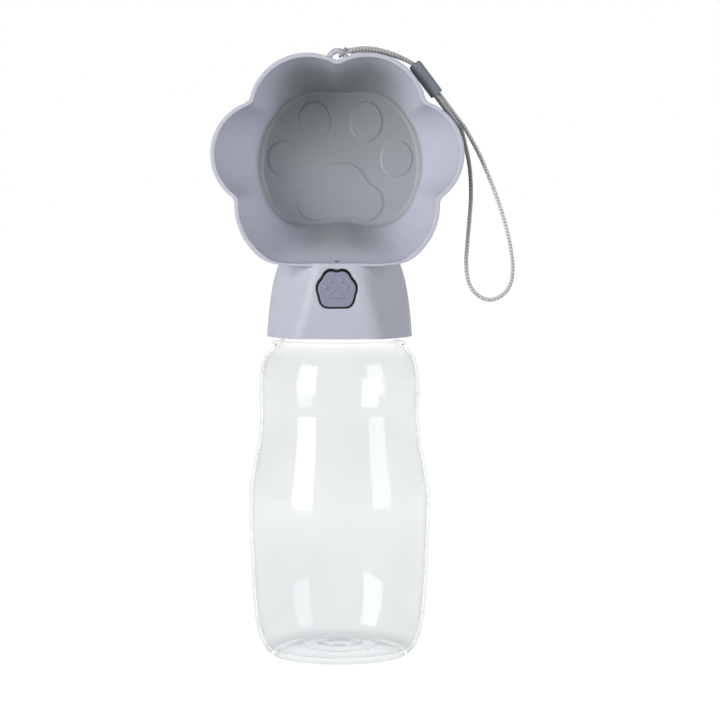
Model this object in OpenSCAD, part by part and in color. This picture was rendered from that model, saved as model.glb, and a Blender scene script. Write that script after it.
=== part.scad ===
// Dog travel water bottle: a clear screw-neck bottle under a moulded head. The head carries a
// paw-shaped drinking trough, a push-button valve that lets water into it, and a wrist lanyard.
// Millimetres. The origin is the centre of the base, +Z runs up the bottle, the trough faces -Y.

/* [Bottle] */
// Radius of the belly, the widest part of the bottle
belly_r = 39.9; // [38.5:0.1:41]
// Radius of the waist where a hand grips
waist_r = 35.0; // [34:0.1:36]
// Wall thickness of the bottle
bottle_wall = 1.5; // [1.2:0.1:1.8]
// Height of the dome pushed up into the base
base_dome = 3.5; // [3:0.5:8]
// Lowest point of the straight band round the belly
band_low = 60; // [58:0.5:62]
// Highest point of the straight band round the belly
band_high = 71; // [69:0.5:72]
// Radius of the clear ring under the neck
ring_r = 29.4; // [29:0.1:30]
// Outer radius of the neck, at the root of its thread
neck_r = 25.9; // [25.7:0.1:26]
// Height of the rim of the neck
neck_top = 151; // [150.5:0.5:151.5]

/* [Screw thread] */
// Rise of the thread in one turn
pitch = 4; // [3.8:0.1:4.2]
// Height of a thread rib above its wall
rib_h = 1.1; // [0.9:0.1:1.1]
// Width of a rib at its root
rib_root = 1.6; // [1.4:0.1:1.6]
// Width of a rib at its crest
rib_crest = 0.8; // [0.6:0.1:0.9]
// Gap between the two loaded faces of the thread
thread_gap = 0.25; // [0.2:0.05:0.4]

/* [Head] */
// Radius of the collar at its lower edge
collar_r = 31.7; // [31.5:0.1:32]
// Height of the collar's lower edge
collar_low = 140; // [139.8:0.1:140.4]
// Wall thickness of the head
head_wall = 2; // [1.8:0.1:2.2]
// How far in front of the bottle's axis the front panel stands
panel_y = 34.5; // [34:0.1:35]

/* [Trough] */
// Height of the centre of the trough
trough_z = 217; // [216:0.5:218]
// Depth of the trough from its lip to its floor
trough_depth = 40.5; // [38:0.5:42]
// How far in front of the bottle's axis the lip starts, at its bottom edge
lip_y = 34; // [33.5:0.1:34.2]
// Angle by which the lip leans back
lean = 5.5; // [4:0.5:6]
// Width of the lip
lip_w = 2; // [1.8:0.1:2.4]
// Depth of the straight band behind the lip
lip_band = 4; // [3:0.5:5]

/* [Push button] */
// Height of the centre of the button and of the valve behind it
button_z = 161.6; // [161.4:0.1:161.8]
// How far the button travels
button_travel = 2.8; // [2:0.1:2.8]
// Gap between the button and the edge of its hole
button_gap = 0.95; // [0.85:0.05:1.1]

/* [Lanyard] */
// Diameter of the braided cord
cord_d = 1.8; // [1.6:0.1:1.8]
// Length of the cord slider
slider_len = 16.3; // [15:0.1:17]
// Diameter of the cord slider
slider_d = 5.8; // [5.6:0.1:6]

/* [Hidden] */

clear_tint = [0.86, 0.90, 0.92, 0.45];
shell_tint = [0.745, 0.753, 0.805];
button_tint = [0.53, 0.545, 0.62];
white_tint = [0.9, 0.9, 0.88];
steel_tint = [0.75, 0.76, 0.78];
silicone_tint = [0.82, 0.84, 0.85];
black_tint = [0.05, 0.05, 0.06];
cord_tint = [0.80, 0.80, 0.81];
slider_tint = [0.41, 0.43, 0.47];

// Bottle and cap: what fits round the neck
neck_wall = 1.7;
ring_low = 136.4;
ring_high = 138.2;
thread_play = 0.3;
ext_thread_z = 141.6;
ext_turns = 1.25;
// The cap's rib runs just under the neck's, so that the head can't be pulled up off it
int_thread_z = ext_thread_z - (rib_root + rib_crest) / 2 - thread_gap;
int_turns = 1.5;
int_start = 240;
cap_bore_r = neck_r + rib_h + thread_play;
cap_r = cap_bore_r + 1.1;
cap_low = 141;
gasket_z = neck_top + 0.05;
disc_z = gasket_z + 1.6;
disc_top = disc_z + 2;

// Head: heights of the collar's dome, and the shift of the leaning lip
dome_low = 170.4;
dome_top = 213;
lean_slope = tan(lean);
trough_low = 46.3;
back_wall = 2;

// Eyelet: a half-sunk ring at the top of the trough
eyelet_mid = [0, -22.4, 258.9];
eyelet_r = 3.6;
eyelet_wire = 1.2;

// Valve: places along Y, from front to rear, and radii round its axis
valve_front = -26.4;
valve_step = -16;
seat_front = -7;
seat_rear = -5.5;
valve_rear = 14;
front_bore_r = 2.8;
rear_bore_r = 4;
seat_r = 2.2;
nose_r = 4;
barrel_r = 5.6;
stem_r = 1.1;
inlet_y = 3;
spigot_r = 3.4;
inlet_r = 2.2;
ear_x = 9.5;
running = 0.06;

// Button: how low it sits in its hole, and places along Y
button_drop = 0.25;
cap_face = -34.9;
cap_back = -32.3;
boss_back = -29.9;
boss_r = 2.6;
seal_front = cap_back + button_travel + 0.1;
seal_back = seal_front + 0.8;

// Outlet duct: it runs back and down from a hole in the trough, straight to the valve
duct_y = -30.4;
duct_z = 172.9;
duct_fall = 30;
duct_r = 1.2;
duct_wall = 1;

// Lobes of the trough's outline round its centre: x, z and radius of the ones on the +X side
rim_lobes = [[12.9, 19.5, 25.1], [31.1, 1.8, 22.9], [15.4, -20, 28.2], [0, -20, 27.6]];
floor_lobes = [[9, 7, 23.2], [14, 0, 19.7], [12, -8, 22]];
// Lobes of the button's hole round its centre
hole_lobes = [[2.4, 4.6, 3.9], [3.45, 0.2, 5.5], [2.9, -3.9, 4.9], [0, -3.9, 4.9]];
hole_low = 8.45;

// Smooth curve through a list of points, in n steps between neighbours
function curve_pt(a, b, c, d, t) =
    0.5 * (2 * b + (c - a) * t + (2 * a - 5 * b + 4 * c - d) * t * t
    + (3 * b - a - 3 * c + d) * t * t * t);
function smooth_curve(p, n) = [
    for (i = [0 : len(p) - 2], k = [0 : n - 1])
        curve_pt(p[max(i - 1, 0)], p[i], p[i + 1], p[min(i + 2, len(p) - 1)], k / n),
    p[len(p) - 1]
];
// A path of points moved to its left by d
function moved_left(p, d) = [
    for (i = [0 : len(p) - 1])
        let (t = p[min(i + 1, len(p) - 1)] - p[max(i - 1, 0)])
            p[i] + d * [-t[1], t[0]] / norm(t)
];
function reversed(p) = [for (i = [len(p) - 1 : -1 : 0]) p[i]];
function unit(v) = v / norm(v);

// Bottle outline, from the foot up to the shoulder
foot_path = smooth_curve([
    [29.5, 0], [32.4, 2.4], [35.1, 7.5], [belly_r - 2.9, 14.5],
    [belly_r - 1.8, 24], [belly_r - 0.8, 40], [belly_r, band_low]
], 3);
upper_path = smooth_curve([
    [belly_r, band_high], [belly_r - 0.7, 77], [belly_r - 2.3, 85.5], [waist_r + 1, 94],
    [waist_r + 0.15, 102], [waist_r, 108], [waist_r + 0.3, 117], [waist_r - 0.1, 124.5],
    [waist_r - 2, 131.1], [ring_r + 0.4, 135.4]
], 3);
outer_path = concat(foot_path, upper_path);
inner_path = moved_left(outer_path, bottle_wall);
neck_bore_r = neck_r - neck_wall;

// Lobed outlines in polar form, round the centre of the lobes
function ray_circle(u, p, r) =
    let (along = p * u, left = r * r - p * p + along * along)
        left > 0 ? along + sqrt(left) : 0;
function soft_max(a, b, k) = max(a, b) + pow(max(k - abs(a - b), 0), 2) / (4 * k);
function lobed(lobes, u, k, i = 0) =
    i >= len(lobes) ? 0 :
    let (c = lobes[i],
         one = ray_circle(u, [c[0], c[1]], c[2]),
         two = ray_circle(u, [-c[0], c[1]], c[2]))
        soft_max(soft_max(one, two, k), lobed(lobes, u, k, i + 1), k);
function lobed_r(lobes, low, a, k) =
    let (u = [cos(a), sin(a)],
         r = lobed(lobes, u, k),
         flat = u[1] < -0.01 ? -low / u[1] : 1000)
        -soft_max(-r, -flat, 5);
steps = 96;
rim_r = [for (i = [0 : steps - 1]) lobed_r(rim_lobes, trough_low, i * 360 / steps, 2.5)];
floor_r = [for (i = [0 : steps - 1]) lobed_r(floor_lobes, 30.2, i * 360 / steps, 6)];

// A ring of the trough: mix runs from the rim's outline to the floor's, grow widens it,
// and back is how far it lies behind the plane of the lip
function trough_ring(mix, grow, back) = [
    for (i = [0 : steps - 1])
        let (a = i * 360 / steps,
             r = rim_r[i] * (1 - mix) + floor_r[i] * mix + grow,
             z = trough_z + r * sin(a))
            [r * cos(a), back - lip_y + lean_slope * (z - trough_z + trough_low), z]
];
function trough_mid(back) =
    [0, back - lip_y + lean_slope * trough_low, trough_z];

// Closed skin over a list of rings, with a fan over each end
module lofted(rings, first_mid, last_mid) {
    n = len(rings[0]);
    m = len(rings);
    pts = concat([for (r = rings) each r], [first_mid, last_mid]);
    skin = [
        for (j = [0 : m - 2], i = [0 : n - 1])
            let (a = j * n + i, b = j * n + (i + 1) % n)
                each [[a, b, b + n], [a, b + n, a + n]]
    ];
    caps = [
        for (i = [0 : n - 1])
            each [[(i + 1) % n, i, n * m], [n * (m - 1) + i, n * (m - 1) + (i + 1) % n, n * m + 1]]
    ];
    polyhedron(pts, concat(skin, caps));
}

// Rings of the trough, down its inside from the floor and back along its outside
floor_fillet = 3;
inside_rings = [
    trough_ring(1, -floor_fillet, trough_depth),
    trough_ring(1, -0.9, trough_depth - 0.9),
    trough_ring(0.94, -0.3, trough_depth - floor_fillet),
    trough_ring(0, -lip_w, 0.6),
    trough_ring(0, -lip_w + 0.6, 0)
];
outside_rings = [
    trough_ring(0, -0.6, 0),
    trough_ring(0, 0, 0.6),
    trough_ring(0, 0, lip_band),
    trough_ring(0.96, 1.6, trough_depth - 1),
    trough_ring(1, -0.6, trough_depth + back_wall)
];

module trough_shell() {
    lofted(concat(inside_rings, outside_rings), trough_mid(trough_depth),
        trough_mid(trough_depth + back_wall));
}

// The solid inside the middle of the trough's wall, which trims what runs into it
module trough_core() {
    lofted([
        trough_ring(0, -1, -3),
        trough_ring(0, -1, lip_band),
        trough_ring(0.96, 0.6, trough_depth - 1.5),
        trough_ring(1, -1.2, trough_depth + 1)
    ], trough_mid(-3), trough_mid(trough_depth + 1));
}

// A lobed plate in the X-Z plane from y0 back to y1, with its outline widened by grow
module lobed_plate(grow, y0, y1) {
    translate([0, y1, button_z])
        rotate([90, 0, 0])
            linear_extrude(y1 - y0)
                intersection() {
                    for (c = hole_lobes, s = [-1, 1])
                        translate([s * c[0], c[1]]) circle(c[2] + grow, $fn = 96);
                    translate([-15, -hole_low - grow]) square([30, 30]);
                }
}

// Turns a shape drawn up +Z so that it runs back along +Y on the valve's axis
module on_valve_axis() {
    translate([0, 0, button_z]) rotate([-90, 0, 0]) children();
}

module rod(r, y0, y1) {
    on_valve_axis() translate([0, 0, y0]) cylinder(r = r, h = y1 - y0, $fn = 64);
}

// Turns a shape drawn up +Z so that it runs back and down along the outlet duct
module on_duct() {
    translate([0, duct_y, duct_z]) rotate([-90 - duct_fall, 0, 0]) children();
}

module oring(major, minor) {
    rotate_extrude($fn = 64) translate([major, 0]) circle(minor, $fn = 24);
}

// Rib of a screw thread on a wall of radius wall_r. It stands out where out is 1, or in where
// out is -1, and fades over its first and last steps
module thread_rib(wall_r, out, z0, start, turns) {
    n = round(turns * 36);
    function fade(i) = min(1, 0.2 + min(i, n - i) * 0.2);
    rings = [
        for (i = [0 : n])
            let (a = start + i * turns * 360 / n,
                 z = z0 + pitch * a / 360,
                 root = wall_r - out * 0.4,
                 crest = wall_r + out * rib_h * fade(i),
                 low = [rib_root / 2, rib_crest / 2] * out)
                [for (p = [[root, -low[0]], [crest, -low[1]], [crest, low[1]], [root, low[0]]])
                    [p[0] * cos(a), p[0] * sin(a), z + p[1]]]
    ];
    lofted(rings, (rings[0][0] + rings[0][2]) / 2, (rings[n][0] + rings[n][2]) / 2);
}

module bottle() {
    color(clear_tint) {
        rotate_extrude($fn = 180) polygon(concat(
            [[0, base_dome], [16, base_dome], [24, base_dome * 0.55], [27.5, 0]],
            outer_path,
            [
                [ring_r - 0.8, ring_low - 0.4], [ring_r, ring_low], [ring_r, ring_high - 0.4],
                [ring_r - 0.4, ring_high], [neck_r, ring_high], [neck_r, neck_top - 0.6],
                [neck_r - 0.6, neck_top], [neck_bore_r + 0.4, neck_top],
                [neck_bore_r, neck_top - 0.4], [neck_bore_r, ring_high + 1.2]
            ],
            reversed([for (i = [3 : len(inner_path) - 1]) inner_path[i]]),
            [[28.4, 2.2], [24.5, base_dome * 0.55 + 2], [16, base_dome + 2], [0, base_dome + 2]]
        ));
        thread_rib(neck_r, 1, ext_thread_z, 0, ext_turns);
    }
}

module neck_gasket() {
    color(silicone_tint) translate([0, 0, gasket_z])
        difference() {
            cylinder(r = neck_r + 1, h = 1.6, $fn = 120);
            translate([0, 0, -1]) cylinder(r = neck_bore_r - 1.3, h = 4, $fn = 120);
        }
}

// Solid of the collar and of the dome behind the trough
module collar_solid() {
    rotate_extrude($fn = 180) polygon([
        [0, collar_low], [collar_r - 0.5, collar_low], [collar_r, collar_low + 0.5],
        [30.4, 154.7], [29.9, 160], [29.2, 162.6], [28.5, 165.2], [27.5, 168],
        [26.8, dome_low], [25.8, 174], [23.8, 179], [20.8, 185], [18.6, 191], [17.2, 197],
        [16.2, 203], [15.2, 207], [13.6, 210], [11, 212], [0, dome_top]
    ]);
}

// Hollow of the collar: the bore that takes the inner cap, a ledge, and the dome's inside
module collar_hollow() {
    w = head_wall;
    rotate_extrude($fn = 180) polygon([
        [0, collar_low - 1], [cap_r + 0.1, collar_low - 1], [cap_r + 0.1, disc_top],
        [27.6, disc_top], [27.4, 161], [25.8, 166], [26.6 - w, dome_low], [25.6 - w, 174],
        [23.4 - w, 179], [20.2 - w, 185], [16.8 - w, 191], [0, 191]
    ]);
}

// Front panel: its face rises forward of the collar, and its sides sweep out as it goes down
module front_panel() {
    top = 171.4;
    low = collar_low;
    columns = 26;
    rows = 12;
    function face_y(z) = -panel_y + 3.2 * pow(max(0, 1 - (z - low) / 24), 2);
    function half_w(z) = 7 + 0.2 * (170 - z);
    function ease(t) = let (s = min(1, max(0, t))) s * s * (3 - 2 * s);
    function front(x, z) =
        let (side = ease((abs(x) - half_w(z)) / 15), r = 28.5)
            face_y(z) * (1 - side) + side * (-sqrt(r * r - x * x) + 0.5);
    rings = [
        for (j = [0 : rows])
            let (z = low + j * (top - low) / rows)
                concat(
                    [for (i = [0 : columns]) let (x = -24 + i * 48 / columns) [x, front(x, z), z]],
                    [[24, -12, z], [-24, -12, z]])
    ];
    lofted(reversed(rings), [0, -20, top], [0, -20, low]);
}

module eyelet() {
    translate(eyelet_mid) rotate([90, 0, 0])
        rotate_extrude($fn = 64) translate([eyelet_r, 0]) circle(eyelet_wire, $fn = 32);
}

module trough_head() {
    color(shell_tint) difference() {
        union() {
            trough_shell();
            difference() {
                union() {
                    collar_solid();
                    front_panel();
                    eyelet();
                }
                collar_hollow();
                trough_core();
            }
            on_duct() translate([0, 0, 2.5]) cylinder(r = duct_r + duct_wall, h = 4.9, $fn = 48);
        }
        lobed_plate(0, -40, seal_back);
        rod(boss_r + 0.6, -30, -20);
        rod(nose_r + 0.3, valve_front - 0.4, -20);
        on_duct() translate([0, 0, -3]) cylinder(r = duct_r, h = 12, $fn = 48);
    }
}

module inner_cap() {
    color(white_tint) {
        difference() {
            rotate_extrude($fn = 180) polygon([
                [0, disc_z], [21.2, disc_z], [21.6, disc_z - 3], [22.6, disc_z - 3],
                [22.6, disc_z], [cap_bore_r, disc_z], [cap_bore_r, cap_low],
                [cap_r, cap_low], [cap_r, disc_top], [0, disc_top]
            ]);
            translate([0, inlet_y, disc_z - 1]) cylinder(r = spigot_r + 0.1, h = 5, $fn = 64);
        }
        for (s = [-1, 1]) translate([s * ear_x, inlet_y, disc_top - 0.1]) difference() {
            cylinder(r = 2.4, h = 156.1 - disc_top, $fn = 48);
            cylinder(r = 0.9, h = 4, $fn = 32);
        }
        thread_rib(cap_bore_r, -1, int_thread_z, int_start, int_turns);
    }
}

module inlet_oring() {
    color(silicone_tint) translate([0, inlet_y, disc_top + 0.6]) oring(spigot_r + 0.65, 0.6);
}

module valve_body() {
    color(white_tint) difference() {
        union() {
            on_valve_axis() rotate_extrude($fn = 96) polygon([
                [0, valve_front], [nose_r, valve_front], [nose_r, valve_step],
                [barrel_r, valve_step + 1], [barrel_r, valve_rear], [0, valve_rear]
            ]);
            translate([-12, inlet_y - 3, 156.05]) cube([24, 6, 1.6]);
            translate([0, inlet_y, disc_top + 1.2]) cylinder(r = 5.4, h = 2, $fn = 64);
            translate([0, inlet_y, disc_z - 0.9]) cylinder(r = spigot_r, h = 6, $fn = 64);
            on_duct() translate([0, 0, 7.6]) cylinder(r = duct_r + duct_wall, h = 7, $fn = 48);
        }
        rod(front_bore_r, valve_front - 1, seat_front);
        rod(seat_r, seat_front - 1, seat_rear + 1);
        rod(rear_bore_r, seat_rear, valve_rear + 1);
        translate([0, inlet_y, disc_z - 2]) cylinder(r = inlet_r, h = 9, $fn = 48);
        on_duct() translate([0, 0, 6]) cylinder(r = duct_r, h = 11, $fn = 48);
        for (s = [-1, 1]) translate([s * ear_x, inlet_y, 155]) cylinder(r = 1.15, h = 4, $fn = 32);
    }
}

module valve_screws() {
    color(steel_tint) for (s = [-1, 1]) translate([s * ear_x, inlet_y, 0]) {
        translate([0, 0, 154.8]) cylinder(r = 0.85, h = 3, $fn = 32);
        translate([0, 0, 157.7]) difference() {
            cylinder(r = 2, h = 1.4, $fn = 48);
            translate([-0.3, -1.2, 0.8]) cube([0.6, 2.4, 1]);
            translate([-1.2, -0.3, 0.8]) cube([2.4, 0.6, 1]);
        }
    }
}

module rear_plug() {
    color(white_tint) on_valve_axis() rotate_extrude($fn = 96) polygon([
        [0, 5], [1.5, 5], [1.5, 8], [rear_bore_r - 0.02, 8], [rear_bore_r - 0.02, 10.4],
        [2.9, 10.4], [2.9, 11.8], [rear_bore_r - 0.02, 11.8], [rear_bore_r - 0.02, valve_rear],
        [barrel_r, valve_rear], [barrel_r, valve_rear + 1.5], [0, valve_rear + 1.5]
    ]);
}

module plug_oring() {
    color(black_tint) on_valve_axis() translate([0, 0, 11.1]) oring(3.42, 0.5);
}

module front_bush() {
    r = front_bore_r - 0.02;
    bore = stem_r + running;
    color(white_tint) on_valve_axis() rotate_extrude($fn = 96) polygon([
        [bore, valve_front], [r, valve_front], [r, -20], [bore, -20], [bore, -22.2],
        [2.4, -22.2], [2.4, -23.6], [bore, -23.6]
    ]);
}

module stem_oring() {
    color(black_tint) on_valve_axis() translate([0, 0, -22.9]) oring(1.76, 0.58);
}

module valve_stem() {
    color(steel_tint) on_valve_axis() rotate_extrude($fn = 96) polygon([
        [0, -33.4], [stem_r - 0.3, -33.4], [stem_r, -33.1], [stem_r, -3.9], [2.6, -3.9],
        [2.6, -2.9], [stem_r, -2.9], [stem_r, 1.2], [stem_r - 0.3, 1.5], [0, 1.5]
    ]);
}

module poppet_seal() {
    color(silicone_tint) on_valve_axis() rotate_extrude($fn = 96) polygon([
        [stem_r, seat_rear + 0.05], [3, seat_rear + 0.05], [3.3, seat_rear + 0.4], [3.3, -3.9],
        [stem_r, -3.9]
    ]);
}

// Steel coil between the flange of the stem and the rear plug
module return_spring() {
    turns = 7;
    wire = 0.3;
    mean = 2.25;
    front = -2.9 + wire + 0.05;
    run = 8 - 0.05 - wire - front;
    n = turns * 8;
    rings = [
        for (i = [0 : n])
            let (a = i * 45, y = front + run * i / n)
                [for (k = [0 : 5])
                    let (r = mean + wire * cos(k * 60))
                        [r * cos(a), r * sin(a), y + wire * sin(k * 60)]]
    ];
    color(steel_tint) on_valve_axis()
        lofted(rings, [mean * cos(0), 0, front], [mean * cos(n * 45), mean * sin(n * 45), front + run]);
}

module outlet_sleeve() {
    color(silicone_tint) on_duct() translate([0, 0, 5.8]) difference() {
        cylinder(r = duct_r + duct_wall + 0.7, h = 3.4, $fn = 48);
        translate([0, 0, -1]) cylinder(r = duct_r + duct_wall, h = 6, $fn = 48);
    }
}

module button() {
    color(button_tint) difference() {
        union() {
            translate([0, 0, -button_drop]) {
                lobed_plate(-button_gap, cap_face + 0.4, cap_back);
                lobed_plate(-button_gap - 0.4, cap_face, cap_back);
            }
            rod(boss_r, cap_back - 0.5, boss_back);
        }
        rod(stem_r, -33.4, boss_back + 1);
    }
}

module button_seal() {
    color(black_tint) difference() {
        lobed_plate(-0.05, -34, seal_back - 0.02);
        lobed_plate(-0.4, -36, seal_front);
        rod(boss_r + 0.15, -36, -20);
    }
}

// Lanyard: the slider's centre, the way its cords run and the way from one cord to the other
slider_mid = [37.45, -18.5, 250.65];
run_way = [0.6, 0, -0.8];
pair_way = [0.8, 0, 0.6];
half_gap = cord_d / 2 + 0.03;

// Middle of the doubled cord from the hitch to the slider, and how far each pair leans over
lobe_route = [
    [5.4, -22.4, 262.3], [9.8, -21.9, 263.05], [14.5, -21, 263], [18.6, -20.2, 262.3],
    [22.8, -19.5, 261.2], [26.8, -19, 259.75], [30.2, -18.7, 258.2], [32.2, -18.55, 256.95]
];
lobe_lean = [0.45, 0.45, 0.45, 0.4, 0.3, 0.15, 0, 0];
// Places along the slider's axis and below it. The pair turns a quarter round inside the slider
straight_run = [-4.5, 0, 4.5, 9, 14, 19, 23.5, 27];
turn_start = -4.5;
turn_end = 9;
// Wrist loop, from the slider's outer cord down and round to its inner cord
loop_route = [
    [60, -18.4, 219.5], [63.4, -18.3, 212], [66.6, -18.2, 204], [69.6, -18, 195.5],
    [72.1, -17.8, 187], [74, -17.6, 178.5], [74.9, -17.4, 170], [73.9, -17.2, 163],
    [70.3, -17, 158.3], [65, -17, 156.4], [59.6, -17.2, 158.6], [56, -17.4, 164],
    [55, -17.6, 172], [55.5, -17.8, 181], [56.3, -18, 190.5], [56.9, -18.2, 199.5],
    [56.8, -18.3, 208], [55.8, -18.4, 216.5]
];
function lobe_pair(i) = half_gap * unit([0, 0.9, -lobe_lean[i]]);
function run_pair(t) =
    let (a = 90 * min(1, max(0, (t - turn_start) / (turn_end - turn_start))))
        half_gap * (cos(a) * [0, 1, 0] + sin(a) * pair_way);
function one_cord(s) = concat(
    [for (i = [0 : len(lobe_route) - 1]) lobe_route[i] + s * lobe_pair(i)],
    [for (t = straight_run) slider_mid + t * run_way + s * run_pair(t)]
);
cord_route = concat(one_cord(1), loop_route, reversed(one_cord(-1)));

// Tube of radius r with eight sides along a path. Its sides keep their place from ring to
// ring because each ring's frame is the last one's, turned onto the new direction
module tube(path, r) {
    n = len(path);
    way = [for (i = [0 : n - 1]) unit(path[min(i + 1, n - 1)] - path[max(i - 1, 0)])];
    function across(i, v) =
        let (u = unit(v - (v * way[i]) * way[i])) i >= n - 1 ? [u] : concat([u], across(i + 1, u));
    side = across(0, [0, 1, 0.1]);
    rings = [
        for (i = [0 : n - 1])
            let (w = cross(way[i], side[i]))
                [for (k = [0 : 7]) path[i] + r * (cos(k * 45) * side[i] + sin(k * 45) * w)]
    ];
    lofted(reversed(rings), path[n - 1], path[0]);
}

// Hitch: a loop round the eyelet's leg, its knot and the whipping that holds the doubled cord
module cord_hitch() {
    leg = 52;
    loop_wire = 0.7;
    color(cord_tint) {
        translate(eyelet_mid) rotate([0, -leg, 0]) translate([eyelet_r, 0, 0])
            rotate_extrude($fn = 48) translate([eyelet_wire + loop_wire + 0.15, 0])
                circle(loop_wire, $fn = 24);
        translate(eyelet_mid + [4.5, 0, 3.35])
            rotate([0, 72, 0]) cylinder(r = 1.25, h = 1.6, $fn = 48);
    }
}

module lanyard_cord() {
    color(cord_tint) tube(smooth_curve(cord_route, 2), cord_d / 2);
}

module cord_slider() {
    r = slider_d / 2;
    half = slider_len / 2;
    bore = half_gap + cord_d / 2 + 0.2;
    color(slider_tint) translate(slider_mid) rotate([0, 180 - atan2(run_way[0], -run_way[2]), 0])
        difference() {
            rotate_extrude($fn = 96) polygon(concat(
                [[0, -half]],
                [for (a = [0 : 15 : 75]) [r - 1.8 + 1.8 * sin(a), -half + 1.8 - 1.8 * cos(a)]],
                [[r, -half + 1.8], [r, half - 0.3], [r - 0.3, half], [0, half]]
            ));
            translate([0, 0, -half - 1]) cylinder(r = bore, h = slider_len + 2, $fn = 64);
            translate([0, 0, -half - 0.01])
                cylinder(r1 = bore + 0.5, r2 = bore, h = half + turn_start, $fn = 64);
        }
}

bottle();
neck_gasket();
trough_head();
inner_cap();
inlet_oring();
valve_body();
valve_screws();
rear_plug();
plug_oring();
front_bush();
stem_oring();
valve_stem();
poppet_seal();
return_spring();
outlet_sleeve();
button();
button_seal();
cord_hitch();
lanyard_cord();
cord_slider();
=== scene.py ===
import math

import bpy
import numpy as np
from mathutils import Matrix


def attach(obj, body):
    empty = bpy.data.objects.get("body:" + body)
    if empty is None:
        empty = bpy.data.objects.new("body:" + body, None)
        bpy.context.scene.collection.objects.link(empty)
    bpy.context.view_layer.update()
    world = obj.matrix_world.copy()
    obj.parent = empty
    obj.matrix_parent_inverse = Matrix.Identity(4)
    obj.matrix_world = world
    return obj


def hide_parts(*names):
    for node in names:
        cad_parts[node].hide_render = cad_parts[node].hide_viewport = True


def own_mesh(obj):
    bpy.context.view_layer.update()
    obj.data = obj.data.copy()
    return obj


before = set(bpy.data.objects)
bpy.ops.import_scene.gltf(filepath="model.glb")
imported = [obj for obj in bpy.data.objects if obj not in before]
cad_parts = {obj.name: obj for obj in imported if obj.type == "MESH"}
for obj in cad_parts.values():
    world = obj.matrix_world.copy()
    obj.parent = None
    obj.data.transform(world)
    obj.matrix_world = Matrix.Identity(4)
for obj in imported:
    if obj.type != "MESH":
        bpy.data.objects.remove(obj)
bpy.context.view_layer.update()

# The studio: a white floor in white surroundings, and a tall soft box on each side in front of
# the bottle. The left one is the stronger. The camera is level with the lower half of the
# trough and looks slightly down.
WHITE = (1, 1, 1, 1)
CAMERA_DOWN = math.radians(3.38)
CAMERA_ASIDE = math.radians(1.422)
scene = bpy.context.scene
scene.view_settings.view_transform = "Standard"

camera = bpy.data.objects.new("camera", bpy.data.cameras.new("camera"))
camera.data.lens = 122.75
camera.data.sensor_width = 36
camera.data.sensor_fit = "HORIZONTAL"
camera.location = (0.0356, -1.0724, 0.1936)
camera.rotation_euler = (math.radians(90) - CAMERA_DOWN, 0, CAMERA_ASIDE)
scene.collection.objects.link(camera)
scene.camera = camera


def add(tree, kind, settings=None, **inputs):
    """Adds a shader node. An input is a number, a colour or the output that feeds it, under its
    name, or under i and its index where several have one name."""
    made = tree.nodes.new("ShaderNode" + kind)
    for name, value in (settings or {}).items():
        setattr(made, name, value)
    for name, value in inputs.items():
        by_index = name[0] == "i" and name[1:].isdigit()
        socket = made.inputs[int(name[1:]) if by_index else name.replace("_", " ")]
        if isinstance(value, bpy.types.NodeSocket):
            tree.links.new(value, socket)
        else:
            socket.default_value = value
    return made


def seen_clearly(tree):
    """1 for the rays that show a surface to the eye: straight on, mirrored or through plastic."""
    path = add(tree, "LightPath")
    shown = path.outputs["Is Camera Ray"]
    for kind in ("Is Glossy Ray", "Is Transmission Ray"):
        either = add(
            tree, "Math", {"operation": "ADD", "use_clamp": True}, i0=shown, i1=path.outputs[kind])
        shown = either.outputs[0]
    return shown


def ramp(tree, factor, *stops):
    """A colour for each value of the factor, from stops of (value, colour)."""
    made = add(tree, "ValToRGB", Fac=factor)
    keys = made.color_ramp.elements
    while len(keys) < len(stops):
        keys.new(0.5)
    for key, (position, colour) in zip(keys, stops):
        key.position = position
        key.color = colour
    return made.outputs["Color"]


def graded(tree, value, low, high, start=0.0, end=1.0):
    """A number that goes from low to high as the value goes from start to end."""
    return add(tree, "MapRange", i0=value, i1=start, i2=end, i3=low, i4=high).outputs[0]


def soft_box(name, azimuth, distance, height, size, power):
    """A rectangular lamp that faces the bottle's middle. Azimuth is from -Y towards +X."""
    lamp = bpy.data.lights.new(name, "AREA")
    lamp.shape = "RECTANGLE"
    lamp.size, lamp.size_y = size
    lamp.energy = power
    made = bpy.data.objects.new(name, lamp)
    angle = math.radians(azimuth)
    made.location = (distance * math.sin(angle), -distance * math.cos(angle), height)
    made.rotation_euler = (math.radians(90), 0, angle)
    scene.collection.objects.link(made)
    return made


soft_box("soft_box_left", -46, 1.2, 0.40, (0.60, 0.84), 12.6)
soft_box("soft_box_right", 57, 1.2, 0.40, (0.54, 0.84), 6.6)

AMBIENT = 0.07
world = bpy.data.worlds.new("surroundings")
world.use_nodes = True
world.node_tree.nodes.clear()
sky = world.node_tree
where = add(sky, "TexCoord")
across = add(sky, "SeparateXYZ", Vector=where.outputs["Generated"])
sideways = add(sky, "Math", {"operation": "ABSOLUTE"}, i0=across.outputs["X"])
sides = ramp(sky, sideways.outputs[0], (0.15, WHITE), (0.6, (0.66, 0.68, 0.69, 1)))
straight = add(sky, "LightPath").outputs["Is Camera Ray"]
studio = add(sky, "MixRGB", Fac=straight, Color1=sides, Color2=WHITE)
light = add(
    sky, "MixRGB", Fac=seen_clearly(sky), Color1=(AMBIENT, AMBIENT, AMBIENT, 1),
    Color2=studio.outputs["Color"])
background = add(sky, "Background", Color=light.outputs["Color"])
sky.links.new(background.outputs[0], add(sky, "OutputWorld").inputs["Surface"])
scene.world = world

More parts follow.
